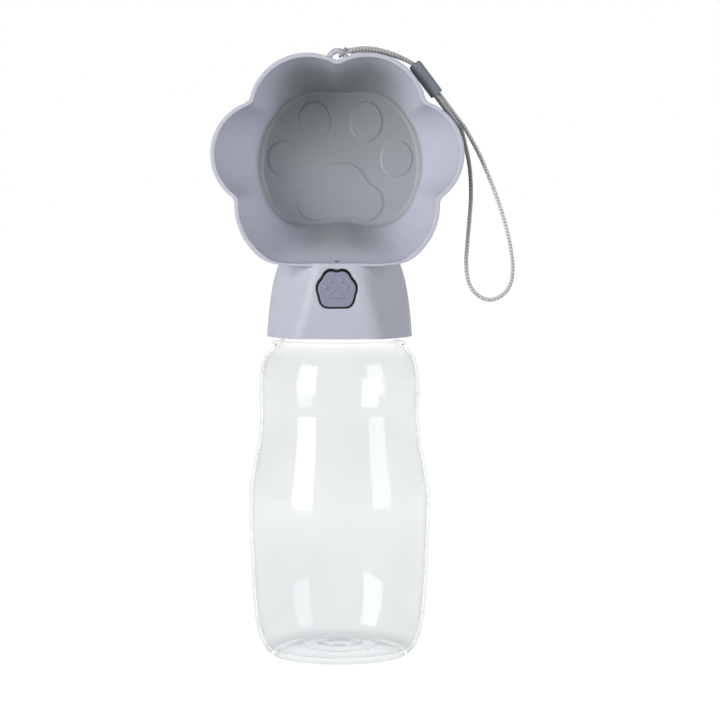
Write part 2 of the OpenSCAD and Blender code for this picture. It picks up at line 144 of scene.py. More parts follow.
floor_material = bpy.data.materials.new("white_floor")
floor_material.use_nodes = True
tree = floor_material.node_tree
tree.nodes.clear()
lit = add(tree, "BsdfDiffuse", Color=(0.5, 0.5, 0.5, 1))
spot = add(tree, "TexCoord").outputs["Object"]
reach = add(tree, "VectorMath", {"operation": "LENGTH"}, i0=spot).outputs["Value"]
strength = graded(tree, reach, 0.84, 1.0, 0.08, 0.5)
glow = add(tree, "Emission", Color=WHITE, Strength=strength)
both = add(tree, "AddShader", i0=lit.outputs[0], i1=glow.outputs[0])
mixed = add(tree, "MixShader", Fac=seen_clearly(tree), i1=lit.outputs[0], i2=both.outputs[0])
tree.links.new(mixed.outputs[0], add(tree, "OutputMaterial").inputs["Surface"])

FLOOR_HALF = 30
floor_mesh = bpy.data.meshes.new("floor")
floor_mesh.from_pydata(
    [(x * FLOOR_HALF, y * FLOOR_HALF, 0) for x, y in ((-1, -1), (1, -1), (1, 1), (-1, 1))], [],
    [(0, 1, 2, 3)])
floor = bpy.data.objects.new("floor", floor_mesh)
floor_mesh.materials.append(floor_material)
scene.collection.objects.link(floor)


# The lanyard: one round cord of polyester yarn, braided from eight strands of pale grey with a
# dark tracer. It leaves the hitch doubled, runs through the slider and makes the wrist loop.
MM = 0.001
BACKWARDS = np.array((0, 1, 0))
CORD_R = 0.9
CORD_SIDES = 16
CORD_STEP = 0.3
CORD_LAY = 5.6
STRANDS_EACH_WAY = 4
STRAND_RELIEF = 0.14
LOBE_ROUTE = [
    (5.4, -22.4, 262.3), (9.8, -21.9, 263.05), (14.5, -21, 263), (18.6, -20.2, 262.3),
    (22.8, -19.5, 261.2), (26.8, -19, 259.75), (30.2, -18.7, 258.2), (32.2, -18.55, 256.95),
]
LOBE_LEAN = [0.45, 0.45, 0.45, 0.4, 0.3, 0.15, 0, 0]
STRAIGHT_RUN = [-4.5, 0, 4.5, 9, 14, 19, 23.5, 27]
SLIDER_MID = np.array((37.45, -18.5, 250.65))
RUN_WAY = np.array((0.6, 0, -0.8))
PAIR_WAY = np.array((0.8, 0, 0.6))
HALF_GAP = 0.93
TURN_FROM = -4.5
TURN_TO = 9
LOOP_ROUTE = [
    (60, -18.4, 219.5), (63.4, -18.3, 212), (66.6, -18.2, 204), (69.6, -18, 195.5),
    (72.1, -17.8, 187), (74, -17.6, 178.5), (74.9, -17.4, 170), (73.9, -17.2, 163),
    (70.3, -17, 158.3), (65, -17, 156.4), (59.6, -17.2, 158.6), (56, -17.4, 164),
    (55, -17.6, 172), (55.5, -17.8, 181), (56.3, -18, 190.5), (56.9, -18.2, 199.5),
    (56.8, -18.3, 208), (55.8, -18.4, 216.5),
]


def unit(vector):
    """The same vector, or each of several, at length 1."""
    return vector / np.linalg.norm(vector, axis=-1, keepdims=True)


def curve_through(points, steps):
    """A smooth curve through the points, with some steps between neighbours."""
    p = np.array(points, float)
    before = np.vstack([p[:1], p[:-2]])
    after = np.vstack([p[2:], p[-1:]])
    t = np.arange(steps)[None, :, None] / steps
    a, b, c, d = (q[:, None, :] for q in (before, p[:-1], p[1:], after))
    curve = 0.5 * (
        2 * b + (c - a) * t + (2 * a - 5 * b + 4 * c - d) * t**2 + (3 * b - a - 3 * c + d) * t**3
    )
    return np.vstack([curve.reshape(-1, p.shape[1]), p[-1:]])


def evenly(path, step):
    """The same path with its points a step apart, and how far along each one lies."""
    along = np.concatenate([[0], np.cumsum(np.linalg.norm(np.diff(path, axis=0), axis=1))])
    stops = np.linspace(0, along[-1], round(along[-1] / step) + 1)
    return np.stack([np.interp(stops, along, path[:, k]) for k in range(3)], 1), stops


def one_cord(side):
    """One of the two strands from the hitch down: they lie one behind the other as far as the
    slider, and turn a quarter round inside it."""
    lobe = [
        np.array(point) + side * HALF_GAP * unit(np.array((0, 0.9, -lean)))
        for point, lean in zip(LOBE_ROUTE, LOBE_LEAN)
    ]
    straight = []
    for t in STRAIGHT_RUN:
        turn = math.radians(90 * min(1, max(0, (t - TURN_FROM) / (TURN_TO - TURN_FROM))))
        way = math.cos(turn) * BACKWARDS + math.sin(turn) * PAIR_WAY
        straight.append(SLIDER_MID + t * RUN_WAY + side * HALF_GAP * way)
    return lobe + straight


def braided(path, stops, radius, sides, lay, first_side=(0, 1, 0.1)):
    """Rings of a round braid of eight strands along a path, and how far each point stands out of
    it, from 0 to 1. Lay is the length in which a strand goes once round."""
    way = unit(np.gradient(path, axis=0))
    across = np.empty_like(path)
    last = np.array(first_side, float)
    for i, w in enumerate(way):
        last = last - last.dot(w) * w
        last /= np.linalg.norm(last)
        across[i] = last
    up = np.cross(way, across)
    turn = np.arange(sides) / sides
    right = STRANDS_EACH_WAY * (turn[None, :] + stops[:, None] / lay)
    left = STRANDS_EACH_WAY * (turn[None, :] - stops[:, None] / lay)
    over = 0.5 + 0.5 * np.tanh(2.5 * np.sin(math.pi * right) * np.sin(math.pi * left))
    right_height = np.abs(np.cos(math.pi * right)) ** 0.7
    left_height = np.abs(np.cos(math.pi * left)) ** 0.7
    height = over * right_height + (1 - over) * left_height
    r = radius * (1 - STRAND_RELIEF + STRAND_RELIEF * height)
    angle = (2 * math.pi * turn)[None, :, None]
    outward = np.cos(angle) * across[:, None, :] + np.sin(angle) * up[:, None, :]
    return path[:, None, :] + r[..., None] * outward, height, over


def lofted(name, rings, first_mid=None, last_mid=None):
    """A closed skin over rings of points, in millimetres. Where a middle point is given, a fan
    closes that end, and where none is, the first and last ring are joined."""
    rings = np.asarray(rings, float)
    rows, columns = rings.shape[:2]
    corner = np.arange(rows * columns).reshape(rows, columns)
    beside = np.roll(corner, -1, 1)
    points = [rings.reshape(-1, 3)]
    if first_mid is None:
        low, high = corner, np.roll(corner, -1, 0)
        faces = np.stack([low, beside, np.roll(beside, -1, 0), high], -1).reshape(-1, 4).tolist()
    else:
        faces = np.stack([corner[:-1], beside[:-1], beside[1:], corner[1:]], -1).reshape(-1, 4).tolist()
        tip = rows * columns
        faces += [(b, a, tip) for a, b in zip(corner[0], beside[0])]
        faces += [(a, b, tip + 1) for a, b in zip(corner[-1], beside[-1])]
        points += [[first_mid], [last_mid]]
    mesh = bpy.data.meshes.new(name)
    mesh.from_pydata(np.vstack(points) * MM, [], faces)
    if signed_volume(mesh) < 0:
        mesh.flip_normals()
    mesh.shade_smooth()
    made = bpy.data.objects.new(name, mesh)
    scene.collection.objects.link(made)
    return made


def signed_volume(mesh):
    """The mesh's volume, which is below zero where its faces point inwards."""
    mesh.calc_loop_triangles()
    points = np.empty(len(mesh.vertices) * 3, np.float32)
    mesh.vertices.foreach_get("co", points)
    points = points.reshape(-1, 3).astype(float)
    corners = np.empty(len(mesh.loop_triangles) * 3, np.int32)
    mesh.loop_triangles.foreach_get("vertices", corners)
    a, b, c = (points[corners.reshape(-1, 3)[:, k]] for k in range(3))
    return float(np.einsum("ij,ij->", a, np.cross(b, c))) / 6


def keep_value(piece, name, values):
    """Stores a number for each point of the mesh, for its material to read. Points past the last
    value keep 0."""
    store = piece.data.attributes.new(name, "FLOAT", "POINT")
    padded = np.zeros(len(piece.data.vertices), np.float32)
    padded[: values.size] = values.ravel()
    store.data.foreach_set("value", padded)


def srgb(red, green, blue):
    """A colour of 0 to 255 as the shader's own numbers."""
    linear = [((c / 255 + 0.055) / 1.055) ** 2.4 for c in (red, green, blue)]
    return (*linear, 1)


def new_material(name):
    """A material with nothing but a plain surface, and its node tree and surface to work on."""
    material = bpy.data.materials.new(name)
    material.use_nodes = True
    tree = material.node_tree
    tree.nodes.clear()
    surface = add(tree, "BsdfPrincipled")
    tree.links.new(surface.outputs[0], add(tree, "OutputMaterial").inputs["Surface"])
    return material, tree, surface


def noise(tree, scale, detail):
    """Noise in the piece's own coordinates. Scale is in waves a metre."""
    place = add(tree, "TexCoord").outputs["Object"]
    made = add(tree, "TexNoise", Vector=place, Scale=scale, Detail=detail, Roughness=0.5)
    return made.outputs["Fac"]


def darkened(tree, colour, by, share=1.0):
    """The colour multiplied by another, as far as the share says."""
    made = add(tree, "MixRGB", {"blend_type": "MULTIPLY"}, Fac=share, Color1=colour, Color2=by)
    return made.outputs[0]


def bump(tree, height, distance):
    """The surface's direction, as if the height stood out of it by that distance in metres."""
    return add(tree, "Bump", Height=height, Distance=distance, Strength=1.0).outputs[0]


def yarn(name, pale, dark):
    """Braided yarn: pale strands one way, darker ones the other, with painted shade in the gaps
    between them, fine fibres along them, and painted shade where a value stored on it says so."""
    material, tree, surface = new_material(name)
    height = add(tree, "Attribute", {"attribute_name": "stands_out"}).outputs["Fac"]
    strand = add(tree, "Attribute", {"attribute_name": "strand"}).outputs["Fac"]
    yarn_painted_shade = add(tree, "Attribute", {"attribute_name": "yarn_painted_shade"}).outputs["Fac"]
    fibres = noise(tree, 9000, 2)
    woven = ramp(tree, strand, (0.15, dark), (0.42, pale))
    # Painted shade in the gaps between the strands, by how far each point stands out
    shade = ramp(tree, height, (0.2, srgb(196, 198, 200)), (0.7, WHITE))
    worn = ramp(tree, fibres, (0.3, srgb(236, 236, 238)), (0.7, WHITE))
    spun = darkened(tree, darkened(tree, woven, shade, 0.75), worn)
    # Painted shade: the yarn is darkened where the stored value says
    dim = darkened(tree, spun, srgb(166, 169, 170), yarn_painted_shade)
    tree.links.new(dim, surface.inputs["Base Color"])
    tree.links.new(graded(tree, fibres, 0.62, 0.85), surface.inputs["Roughness"])
    tree.links.new(bump(tree, fibres, 0.00004), surface.inputs["Normal"])
    surface.inputs["Sheen Weight"].default_value = 0.15
    return material


def dress(piece, material):
    """Gives a piece or a CAD node its finish."""
    piece.data.materials.clear()
    piece.data.materials.append(material)


cord_yarn = yarn("braided_yarn", srgb(255, 254, 254), srgb(176, 177, 180))
cord_points = one_cord(1) + [np.array(p) for p in LOOP_ROUTE] + one_cord(-1)[::-1]
cord_path, cord_stops = evenly(curve_through(cord_points, 24), CORD_STEP)
cord_rings, cord_height, cord_strand = braided(cord_path, cord_stops, CORD_R, CORD_SIDES, CORD_LAY)
lanyard = lofted("lanyard_braid", cord_rings, cord_path[0], cord_path[-1])
keep_value(lanyard, "stands_out", cord_height)
keep_value(lanyard, "strand", cord_strand)

# Painted shade on the yarn where it is doubled and just below that, beside the trough, most on the
# strand that comes back
from_end = cord_stops[-1] - cord_stops
going_down = np.interp(cord_stops, [25, 47, 58, 80], [0.5, 0.6, 0.3, 0])
coming_back = np.interp(
    from_end, [25, 47, 90, 100, 128, 160, 185], [0.5, 1, 0.9, 0.75, 0.25, 0.2, 0])
keep_value(lanyard, "yarn_painted_shade", np.repeat(np.maximum(coming_back, going_down), CORD_SIDES))
dress(lanyard, cord_yarn)
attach(lanyard, "head")
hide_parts("lanyard_cord")


# The hitch: a loop of the lanyard's own yarn round the eyelet's right leg, and beside it four
# turns of whipping that hold the two strands together.
EYELET_MID = np.array((0, -22.4, 258.9))
EYELET_R = 3.6
EYELET_WIRE = 1.2
LEG = math.radians(52)
LOOP_WIRE = 0.7
LOOP_GAP = 0.12
LOOP_SIDES = 14
LOOP_LAYS = 3
LOOP_STEP = 0.2
leg_way = np.array((math.cos(LEG), 0, math.sin(LEG)))
leg_mid = EYELET_MID + EYELET_R * leg_way


def joined(name, pieces):
    """Makes one object of several."""
    with bpy.context.temp_override(active_object=pieces[0], selected_editable_objects=pieces):
        bpy.ops.object.join()
    pieces[0].name = name
    return pieces[0]


def around(count):
    """The angles of so many points, evenly round a circle."""
    return np.arange(count) / count * 2 * math.pi


ring_turn = np.linspace(0, 2 * math.pi, 97)[:, None]
ring_r = EYELET_WIRE + LOOP_WIRE + LOOP_GAP
ring_path = leg_mid + ring_r * (np.cos(ring_turn) * leg_way + np.sin(ring_turn) * BACKWARDS)
ring_path, ring_stops = evenly(ring_path, LOOP_STEP)
ring_rings, ring_height, ring_strand = braided(
    ring_path[:-1], ring_stops[:-1], LOOP_WIRE, LOOP_SIDES, ring_stops[-1] / LOOP_LAYS,
    (-math.sin(LEG), 0, math.cos(LEG)))
hitch_ring = lofted("hitch_ring", ring_rings)
keep_value(hitch_ring, "stands_out", ring_height)
keep_value(hitch_ring, "strand", ring_strand)
# Painted shade on the hitch ring
keep_value(hitch_ring, "yarn_painted_shade", np.full(ring_height.size, 0.7))

WHIP_LEAN = math.radians(12)
WHIP_LONG = 2.2
WHIP_TAPER = 0.8
WHIP_PITCH = 0.53
WHIP_R = 1.02
WHIP_WIRE = 0.23
WHIP_SIDES = 40
WHIP_ROWS = 41
whip_way = np.array((math.cos(WHIP_LEAN), 0, math.sin(WHIP_LEAN)))
whip_up = np.array((-math.sin(WHIP_LEAN), 0, math.cos(WHIP_LEAN)))
whip_start = EYELET_MID + (3.9, 0, 3.35)
whip_x = np.linspace(0, WHIP_LONG, WHIP_ROWS)[:, None, None]
whip_full = 0.6 + 0.4 * np.minimum(1, whip_x / WHIP_TAPER)
whip_wave = np.abs(np.sin(math.pi * whip_x / WHIP_PITCH)) ** 0.6
whip_turn = around(WHIP_SIDES)[None, :, None]
whip_rings = whip_start + whip_x * whip_way + whip_full * (WHIP_R + WHIP_WIRE * whip_wave) * (
    np.cos(whip_turn) * BACKWARDS + np.sin(whip_turn) * whip_up)
whipping = lofted("whipping", whip_rings, whip_start, whip_start + WHIP_LONG * whip_way)
keep_value(whipping, "stands_out", np.repeat(whip_wave, WHIP_SIDES))
keep_value(whipping, "strand", np.ones(WHIP_ROWS * WHIP_SIDES))
# Painted shade on the whipping
keep_value(whipping, "yarn_painted_shade", np.full(WHIP_ROWS * WHIP_SIDES, 0.5))

hitch = joined("hitch_loop", [hitch_ring, whipping])
dress(hitch, cord_yarn)
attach(hitch, "head")
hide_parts("cord_hitch")


# The slider: a moulded silicone tube, squeezed over both strands, with a domed upper end. It
# stays where it is pushed because it grips the cord.
def moulded(name, colour, low_rough, high_rough, grain=3500, grain_depth=0.000012, mottle=0.02):
    """Moulded plastic or rubber: one colour with a faint cloudiness, and the fine even grain that
    a blasted mould leaves."""
    material, tree, surface = new_material(name)
    cloud = noise(tree, 60, 3)
    fine = noise(tree, grain, 2)
    dull = tuple(c * (1 - mottle) for c in colour[:3]) + (1,)
    bright = tuple(min(1, c * (1 + mottle)) for c in colour[:3]) + (1,)
    tree.links.new(ramp(tree, cloud, (0.3, dull), (0.7, bright)), surface.inputs["Base Color"])
    tree.links.new(graded(tree, fine, low_rough, high_rough), surface.inputs["Roughness"])
    tree.links.new(bump(tree, fine, grain_depth), surface.inputs["Normal"])
    return material, tree, surface


SLIDER_HALF = 8.15
SLIDER_R = 2.9
SLIDER_BORE = 2.03
DOME_IN = 0.78
DOME_DOWN = 1.6
slider_profile = [(SLIDER_BORE + 0.01, -SLIDER_HALF + 0.3)]
slider_profile += [
    (SLIDER_R - DOME_IN + DOME_IN * math.sin(a), -SLIDER_HALF + DOME_DOWN - DOME_DOWN * math.cos(a))
    for a in np.linspace(0, math.radians(90), 14)
]
slider_profile += [(SLIDER_R, t) for t in np.linspace(-5.8, 7.6, 12)]
slider_profile += [
    (SLIDER_R, SLIDER_HALF - 0.35), (SLIDER_R - 0.1, SLIDER_HALF - 0.1), (SLIDER_R - 0.35, SLIDER_HALF),
    (SLIDER_BORE + 0.15, SLIDER_HALF), (SLIDER_BORE, SLIDER_HALF - 0.15), (SLIDER_BORE, -4.5),
]
slider_turn = around(96)[:, None]
slider_side = np.cos(slider_turn) * PAIR_WAY + np.sin(slider_turn) * BACKWARDS
slider = lofted("slider_tube", [SLIDER_MID + t * RUN_WAY + r * slider_side for r, t in slider_profile])
slider_silicone = moulded("slider_silicone", srgb(129, 135, 144), 0.45, 0.6)[0]
dress(slider, slider_silicone)
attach(slider, "slider")
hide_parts("cord_slider")


# The bottle: blow-moulded clear plastic, 1.5 mm thick, on an injection-moulded neck. It has a
# waist to hold it by, a base pushed up in rings, a ring under the neck and a thread on it.
NECK_R = 25.9
NECK_BORE_R = 24.2
NECK_TOP = 151
RING_R = 29.4
RING_LOW = 136.4
RING_HIGH = 138.2
PITCH = 4
WALL = 1.5
THREAD_LOW = 141.6
THREAD_TURNS = 1.25
THREAD_HEIGHT = 1.1
THREAD_ROOT = 1.6
THREAD_CREST = 0.8
THREAD_SINK = 0.4
STEPS_A_TURN = 96


def rounded(points, radii, steps=6):
    """The same open path with each corner rounded off, starting the given length before it."""
    points = [np.array(p, float) for p in points]
    path = [points[0]]
    for before, corner, after, radius in zip(points, points[1:], points[2:], radii):
        into = min(radius, 0.49 * np.linalg.norm(corner - before))
        out = min(radius, 0.49 * np.linalg.norm(after - corner))
        start = corner + into * unit(before - corner)
        end = corner + out * unit(after - corner)
        for k in range(steps + 1):
            t = k / steps
            path.append(start * (1 - t) ** 2 + 2 * corner * t * (1 - t) + end * t * t)
    return np.array(path + [points[-1]])


def moved_left(path, distance):
    """The path moved sideways, to the left of the way it runs."""
    way = unit(np.gradient(path, axis=0))
    return path + distance * np.stack([-way[:, 1], way[:, 0]], 1)


def turned(name, profile, steps):
    """A solid of revolution round Z from a profile of (radius, height) that starts and ends on
    the axis."""
    turn = around(steps)
    r, z = profile[:, 0][:, None], profile[:, 1][:, None]
    rings = np.stack([r * np.cos(turn), r * np.sin(turn), z + 0 * turn], -1)
    return lofted(name, rings[1:-1], (0, 0, profile[0, 1]), (0, 0, profile[-1, 1]))


foot = curve_through(
    [(29.5, 0), (32.4, 2.4), (35.1, 7.5), (37.0, 14.5), (38.1, 24), (39.1, 40), (39.9, 60)], 5)
upper = curve_through(
    [(39.9, 71), (39.2, 77), (37.6, 85.5), (36, 94), (35.15, 102), (35, 108), (35.3, 117),
     (34.9, 124.5), (33, 131.1), (29.8, 135.4)], 5)
outer_path = np.vstack([foot, upper])

# The inner face follows the outer one from just above the foot's thick corner
inner_path = moved_left(outer_path, WALL)[6:]
base_under = rounded(
    [(0, 2.9), (4.5, 2.9), (5.1, 3.5), (9.6, 3.5), (10.2, 2.9), (14.4, 2.9), (16.2, 3.5), (24, 1.9),
     (27.6, 0), (29.5, 0)],
    [0.3, 0.3, 0.3, 0.3, 0.8, 1.2, 3, 0.8])
ring_and_neck = rounded(
    [(29.8, 135.4), (RING_R - 0.9, RING_LOW - 0.3), (RING_R, RING_LOW), (RING_R, RING_HIGH),
     (NECK_R, RING_HIGH), (NECK_R, NECK_TOP), (NECK_BORE_R, NECK_TOP),
     (NECK_BORE_R, RING_HIGH + 1.2), tuple(inner_path[-1])],
    [0.3, 0.5, 0.7, 0.4, 0.7, 0.5, 2.0])
base_inner = rounded(
    [tuple(inner_path[0]), (28.6, 2.6), (24.5, 3.9), (16.2, 5.6), (10.2, 4.9), (9.6, 5.5),
     (5.1, 5.5), (4.5, 4.9), (0, 4.9)],
    [1.2, 3, 1.5, 0.3, 0.3, 0.3, 0.3])
bottle_profile = np.vstack([
    base_under[:-1], outer_path[:-1], ring_and_neck[:-1], inner_path[::-1], base_inner[1:]])
bottle = turned("bottle_shell", bottle_profile, 288)


def neck_thread():
    """A helical rib that stands out of the neck and fades over its ends."""
    count = round(THREAD_TURNS * STEPS_A_TURN)
    step = np.arange(count + 1)
    angle = step / STEPS_A_TURN * 2 * math.pi
    z = THREAD_LOW + PITCH * angle / (2 * math.pi)
    fade = np.minimum(1, 0.1 + np.minimum(step, count - step) / 12)
    foot_r = NECK_R - THREAD_SINK
    tip_r = NECK_R + THREAD_HEIGHT * fade
    section = rounded(
        [(0, -THREAD_ROOT / 2), (1, -THREAD_CREST / 2), (1, THREAD_CREST / 2), (0, THREAD_ROOT / 2)],
        [0.25, 0.25], 4)
    rings = []
    for share, up in section:
        r = foot_r + share * (tip_r - foot_r)
        rings.append(np.stack([r * np.cos(angle), r * np.sin(angle), z + up], -1))
    rings = np.stack(rings, 1)
    return lofted("bottle_thread", rings, rings[0].mean(0), rings[-1].mean(0))


def combine(piece, other, operation):
    """Unites the piece with the other solid or cuts it with it, and keeps only the piece."""
    change = piece.modifiers.new("change", "BOOLEAN")
    change.operation = operation
    change.solver = "MANIFOLD"
    change.object = other
    graph = bpy.context.evaluated_depsgraph_get()
    result = bpy.data.meshes.new_from_object(piece.evaluated_get(graph))
    piece.modifiers.clear()
    old = piece.data
    piece.data = result
    bpy.data.meshes.remove(old)
    bpy.data.objects.remove(other)


combine(bottle, neck_thread(), "UNION")

clear_plastic, tree, surface = new_material("clear_plastic")
flow = noise(tree, 28, 2)
fine_flow = noise(tree, 400, 2)
clouded = ramp(tree, flow, (0.3, srgb(239, 240, 241)), (0.7, srgb(242, 244, 244)))
spot = add(tree, "TexCoord").outputs["Object"]
above_base = add(tree, "SeparateXYZ", Vector=spot).outputs["Z"]
level = add(tree, "VectorMath", {"operation": "MULTIPLY"}, i0=spot, i1=(1, 1, 0)).outputs[0]
from_axis = add(tree, "VectorMath", {"operation": "LENGTH"}, i0=level).outputs["Value"]

# The foot's ring is thick plastic, the neck is clearer, and a wall seen edge-on looks greyer
low = graded(tree, above_base, 1.0, 0.0, 0.0015, 0.0055)
outer = graded(tree, from_axis, 0.15, 1.0, 0.026, 0.029)
thick = add(tree, "Math", {"operation": "MULTIPLY"}, i0=low, i1=outer).outputs[0]
tinted = darkened(tree, clouded, (0.74, 0.755, 0.76, 1), thick)
neck = graded(tree, above_base, 0.0, 1.0, 0.131, 0.136)
cleared = add(tree, "MixRGB", Fac=neck, Color1=tinted, Color2=(0.99, 0.995, 0.99, 1)).outputs[0]
facing_away = add(tree, "LayerWeight").outputs["Facing"]
edge_on = ramp(tree, facing_away, (0.65, WHITE), (0.82, (0.88, 0.885, 0.89, 1)))
tree.links.new(darkened(tree, cleared, edge_on), surface.inputs["Base Color"])
tree.links.new(graded(tree, fine_flow, 0.0, 0.03), surface.inputs["Roughness"])
tree.links.new(bump(tree, fine_flow, 0.000004), surface.inputs["Normal"])
surface.inputs["IOR"].default_value = 1.015
surface.inputs["Coat Weight"].default_value = 0.36
surface.inputs["Coat Roughness"].default_value = 0.02
surface.inputs["Transmission Weight"].default_value = 1.0
dress(bottle, clear_plastic)
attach(bottle, "bottle")
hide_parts("bottle")


# The head: one moulding of satin lavender-grey plastic. It is the trough with its lip and the
# paw print on its floor, the collar and dome that carry it, the front panel and the eyelet.
TROUGH_Z = 217
TROUGH_DEPTH = 40.5
TROUGH_LOW = 46.3
LIP_Y = 34
LEAN = math.tan(math.radians(5.5))
LIP_BAND = 4
FLOOR_FILLET = 3
RIM_LOBES = [(12.9, 19.5, 25.1), (31.1, 1.8, 22.9), (15.4, -20, 28.2), (0, -20, 27.6)]
FLOOR_LOBES = [(9, 7, 23.2), (14, 0, 19.7), (12, -8, 22)]


def soft_max(a, b, k):
    """The greater of the two, blended over k where they are nearly equal."""
    return np.maximum(a, b) + np.maximum(k - np.abs(a - b), 0) ** 2 / (4 * k)


def soft_min(a, b, k):
    """The lesser of the two, blended in the same way."""
    return -soft_max(-a, -b, k)


def lobed_outline(lobes, low, angle, k, corner=5):
    """Distance from the middle to the outline of several overlapping lobes, mirrored about Z and
    cut off flat below."""
    u = np.stack([np.cos(angle), np.sin(angle)], -1)
    out = 0
    for x, z, r in lobes:
        for side in (1, -1):
            along = u @ np.array((side * x, z))
            left = r * r - x * x - z * z + along**2
            out = soft_max(out, np.where(left > 0, along + np.sqrt(np.maximum(left, 0)), 0), k)
    flat = np.where(u[..., 1] < -0.01, -low / np.minimum(u[..., 1], -0.01), 1000)
    return -soft_max(-out, -flat, corner)


def eased(t):
    """0 below 0, 1 above 1, and a smooth slope between."""
    t = np.clip(t, 0, 1)
    return t * t * (3 - 2 * t)


HEAD_STEPS = 344
FLOOR_LOW = 30.2
LIP_WIDTH = 2
LIP_THINNER = 0.85
head_turn = around(HEAD_STEPS)
rim_r = lobed_outline(RIM_LOBES, TROUGH_LOW, head_turn, 2.5)
floor_r = lobed_outline(FLOOR_LOBES, FLOOR_LOW, head_turn, 6)

# The lip is thinner along the flat bottom of the rim
lip_w = LIP_WIDTH - LIP_THINNER * eased((-rim_r * np.sin(head_turn) - 42.5) / 2.5)


def lip_plane(z):
    """The lip's y at a height. Its plane leans back towards the top."""
    return LEAN * (z - TROUGH_Z + TROUGH_LOW) - LIP_Y


def trough_rings(path):
    """Rings of the trough. Each step of the path says how far the ring's outline has gone from
    the rim's to the floor's, how much wider it is, and how far it lies behind the lip."""
    rings = []
    for mix, grow, back in path:
        r = rim_r * (1 - mix) + floor_r * mix + grow
        z = TROUGH_Z + r * np.sin(head_turn)
        rings.append(np.stack([r * np.cos(head_turn), back + lip_plane(z), z], -1))
    return np.array(rings)


def step_up(distance, width):
    """1 inside an outline, 0 outside, with a smooth slope of that width."""
    return eased(0.5 - distance / width)


def paw_print(x, z, slope):
    """Height, from 0 to 1, of the raised paw print: four toes and a pad."""
    raised = np.zeros_like(x)
    for toe_x, toe_z, half_w, half_h, tilt in ((11.4, 16.8, 7.0, 8.7, 2), (24.8, 0.4, 6.9, 7.8, 9)):
        dx, dz = np.abs(x) - toe_x, z - toe_z
        c, s = math.cos(math.radians(tilt)), math.sin(math.radians(tilt))
        across, up = (dx * c - dz * s) / half_w, (dx * s + dz * c) / half_h
        far = np.hypot(across, up)
        scale = np.hypot(across / half_w, up / half_h) / np.maximum(far, 1e-6)
        raised = np.maximum(raised, step_up((far - 1) / np.maximum(scale, 1e-6), slope))
    top = np.hypot(np.abs(x) - 1.5, z + 11.7) - 10.3
    lobes = np.hypot(np.abs(x) - 10.9, z + 18.8) - 8.05
    middle = np.hypot(x, z + 17.4) - 8.8
    pad = soft_min(soft_min(top, lobes, 4), middle, 3)
    return np.maximum(raised, step_up(pad, slope))


PRINT_HEIGHT = 0.42
PRINT_SLOPE = 0.55
FLOOR_WALL = 2
FLOOR_RINGS = 88
LIP_STEPS = 18
LIP_ROUND = 0.62
LIP_POWER = 0.62
inside_path = rounded(
    [(1, -FLOOR_FILLET - 0.6, TROUGH_DEPTH), (0.985, -0.45, TROUGH_DEPTH),
     (0.9, -0.45, TROUGH_DEPTH - 5)],
    [3.0], 10)[1:-1]
lip_in = np.array((0, -2.0, 1.2))
lip_arc = []
for k in range(LIP_STEPS + 1):
    t = k / LIP_STEPS * math.pi
    c, s = math.cos(t), math.sin(t)
    grow = -1 - math.copysign(abs(c) ** LIP_POWER, c)
    lip_arc.append((0, grow, LIP_ROUND * (1 - abs(s) ** LIP_POWER)))
outside_path = rounded(
    [(0, 0, 0.65), (0, 0.05, LIP_BAND), (0.96, 1.6, TROUGH_DEPTH - 1),
     (1, -0.6, TROUGH_DEPTH + FLOOR_WALL), (1, -6, TROUGH_DEPTH + FLOOR_WALL)],
    [2.2, 2.0, 2.0], 8)


def refined(path, longest):
    """The same path with its long stretches divided."""
    points = [path[0]]
    for a, b in zip(path, path[1:]):
        count = max(1, math.ceil(np.linalg.norm((b - a) * (20, 1, 1)) / longest))
        points += [a + (b - a) * k / count for k in range(1, count + 1)]
    return np.array(points)


inside_path = refined(np.vstack([inside_path, [lip_in]]), 3)


def thinned(path):
    """Rings of the trough whose part on the inner face of the lip lies further out where the lip
    is thinner."""
    rings = trough_rings(path)
    for ring, (mix, grow, back) in zip(rings, path):
        pull = (LIP_WIDTH - lip_w) * (1 - mix) * np.clip(-grow / LIP_WIDTH, 0, 1)
        ring[:, 0] += pull * np.cos(head_turn)
        ring[:, 2] += pull * np.sin(head_turn)
    return rings


inside = thinned(inside_path)
lip_rings = thinned(lip_arc)
outside = trough_rings(refined(outside_path, 4.0))

floor_share = np.linspace(0.01, 1, FLOOR_RINGS)[:-1]
floor_mid = np.array((0, lip_plane(TROUGH_Z) + TROUGH_DEPTH, TROUGH_Z))
floor_rings = floor_mid + floor_share[:, None, None] * (inside[0][None] - floor_mid)
print_up = paw_print(floor_rings[..., 0], floor_rings[..., 2] - TROUGH_Z, PRINT_SLOPE)
floor_rings[..., 1] -= PRINT_HEIGHT * print_up
head = lofted(
    "head_shell", np.vstack([floor_rings, inside, lip_rings, outside]), floor_mid,
    (0, lip_plane(TROUGH_Z) + TROUGH_DEPTH + FLOOR_WALL, TROUGH_Z))

# A plug that fills the trough to the middle of its wall, to cut the collar with
core_path = [
    (0, -1, -3), (0, -1, LIP_BAND), (0.96, 0.6, TROUGH_DEPTH - 1.5), (1, -1.2, TROUGH_DEPTH + 1)]
core = lofted(
    "trough_core", trough_rings(core_path), (0, lip_plane(TROUGH_Z) - 3, TROUGH_Z),
    (0, lip_plane(TROUGH_Z) + TROUGH_DEPTH + 1, TROUGH_Z))

# Collar and dome, with the front panel drawn out of them, flared where they meet the trough
COLLAR_LOW = 140
COLLAR_TOP = 213
COLLAR_R = 31.7
HOLLOW_TOP = 191
PANEL_Y = 34.5
PANEL_TOP = 172.5
PANEL_SWEEP = 15
collar_line = curve_through(
    [(31.7, 140.5), (31.1, 148), (30.3, 155), (29.3, 161.5), (28.2, 166.3), (26.9, 170.4),
     (25.6, 174), (23.8, 179), (20.8, 185), (18.6, 191), (17.2, 197),
     (16.2, 203), (15.2, 207), (13.6, 210), (11, 212), (8, 212.7)], 6)


def collar_radius(z):
    """The collar's and the dome's radius at a height, beside the panel."""
    return np.interp(z, collar_line[:, 1], collar_line[:, 0])


